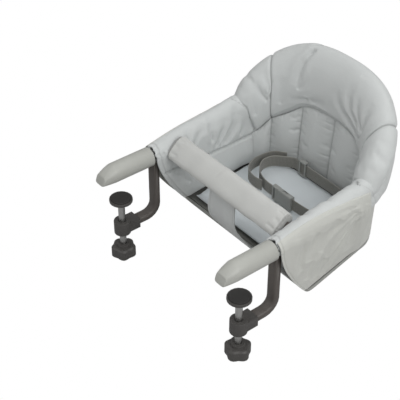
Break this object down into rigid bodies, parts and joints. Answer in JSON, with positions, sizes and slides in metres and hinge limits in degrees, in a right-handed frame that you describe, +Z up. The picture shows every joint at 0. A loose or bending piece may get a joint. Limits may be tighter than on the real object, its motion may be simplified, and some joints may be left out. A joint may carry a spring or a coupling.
{
  "type": "hook-on table chair",
  "caption": "Padded cloth seat that hangs from a table edge by grip arms and screw clamps, with a folding hooped backrest, a padded front bar and a lap belt.",
  "frame": {"origin": "middle of the table's top front edge: z = 0 is the table top that the grips lie on, y = 0 is the edge of the table, x = 0 is the chair's middle plane", "axes": "+Z up, +Y away from the table towards the backrest, +X towards the side named right (the near side of the picture)"},
  "size_m": [0.3882, 0.4532, 0.3717],
  "materials": {
    "steel": "satin zinc-plated steel tube and screw",
    "dark_paint": "satin dark brown-grey powder paint",
    "grip_plastic": "soft satin light grey moulding",
    "dark_plastic": "satin dark grey moulding",
    "rubber": "matte dark rubber",
    "liner_cloth": "smooth quilted grey polyester cloth with a faint sheen",
    "shell_cloth": "matte plain-woven grey polyester cloth",
    "bar_cloth": "matte light grey polyester cloth pulled tight over foam",
    "seat_cloth": "smooth grey polyester cloth over foam",
    "board": "thin board covered in dark grey woven cloth",
    "webbing": "ribbed taupe polypropylene webbing",
    "buckle_plastic": "satin grey moulding"
  },
  "bodies": {
    "frame": {"rail_tube_right": "steel", "rail_tube_left": "steel", "grip_right": "grip_plastic", "grip_left": "grip_plastic", "clamp_leg_right": "dark_paint", "clamp_leg_left": "dark_paint", "nut_block_right": "dark_plastic", "nut_block_left": "dark_plastic", "bar_core": "dark_paint", "hinge_bracket_right": "dark_paint", "hinge_bracket_left": "dark_paint", "hinge_pin_right": "steel", "hinge_pin_left": "steel", "bracket_rivet_right": "steel", "bracket_rivet_left": "steel", "hinge_sleeve_right": "liner_cloth", "hinge_sleeve_left": "liner_cloth", "side_cover_right": "liner_cloth", "side_cover_left": "liner_cloth", "side_panel_right": "shell_cloth", "side_panel_left": "shell_cloth", "rear_panel": "shell_cloth", "back_liner": "liner_cloth", "bar_sleeve": "bar_cloth", "crotch_panel": "shell_cloth", "seat_board": "board", "edge_binding": "webbing", "seat_cushion": "seat_cloth", "belt_strap": "webbing", "return_strap": "webbing", "fixed_strap": "webbing", "buckle_socket": "buckle_plastic"},
    "backrest": {"hoop_tube": "steel", "hoop_end_right": "dark_plastic", "hoop_end_left": "dark_plastic", "backrest_cover": "liner_cloth"},
    "pad_right": {"pad_cup_right": "dark_plastic", "clamp_pad_right": "rubber"},
    "screw_right": {"clamp_screw_right": "steel", "clamp_knob_right": "dark_plastic"},
    "pad_left": {"pad_cup_left": "dark_plastic", "clamp_pad_left": "rubber"},
    "screw_left": {"clamp_screw_left": "steel", "clamp_knob_left": "dark_plastic"},
    "slider": {"strap_slider": "buckle_plastic"},
    "tongue": {"buckle_tongue": "buckle_plastic"}
  },
  "joints": [
    {"name": "backrest_fold", "type": "hinge", "parent": "frame", "child": "backrest", "pos_m": [0, 0.246, 0.072], "axis": [1, 0, 0], "range_deg": [0, 118], "deforming": ["hinge_sleeve_right", "hinge_sleeve_left"]},
    {"name": "pad_lift_right", "type": "slide", "parent": "frame", "child": "pad_right", "axis": [0, 0, 1], "range_m": [-0.035, 0.025]},
    {"name": "knob_turn_right", "type": "hinge", "parent": "pad_right", "child": "screw_right", "pos_m": [0.17, -0.06, -0.1], "axis": [0, 0, 1], "range_deg": [-2520, 1800]},
    {"name": "pad_lift_left", "type": "slide", "parent": "frame", "child": "pad_left", "axis": [0, 0, 1], "range_m": [-0.035, 0.025]},
    {"name": "knob_turn_left", "type": "hinge", "parent": "pad_left", "child": "screw_left", "pos_m": [-0.17, -0.06, -0.1], "axis": [0, 0, 1], "range_deg": [-2520, 1800]},
    {"name": "slider_shift", "type": "slide", "parent": "frame", "child": "slider", "axis": [1, 0, 0], "range_m": [-0.012, 0.012]},
    {"name": "buckle_release", "type": "slide", "parent": "frame", "child": "tongue", "axis": [-1, 0, 0], "range_m": [0, 0.026], "deforming": ["belt_strap", "return_strap"]}
  ],
  "couplings": [
    {"joint": "pad_lift_right", "follows": "knob_turn_right", "m_per_rad": 0.00079577},
    {"joint": "pad_lift_left", "follows": "knob_turn_left", "m_per_rad": 0.00079577}
  ]
}
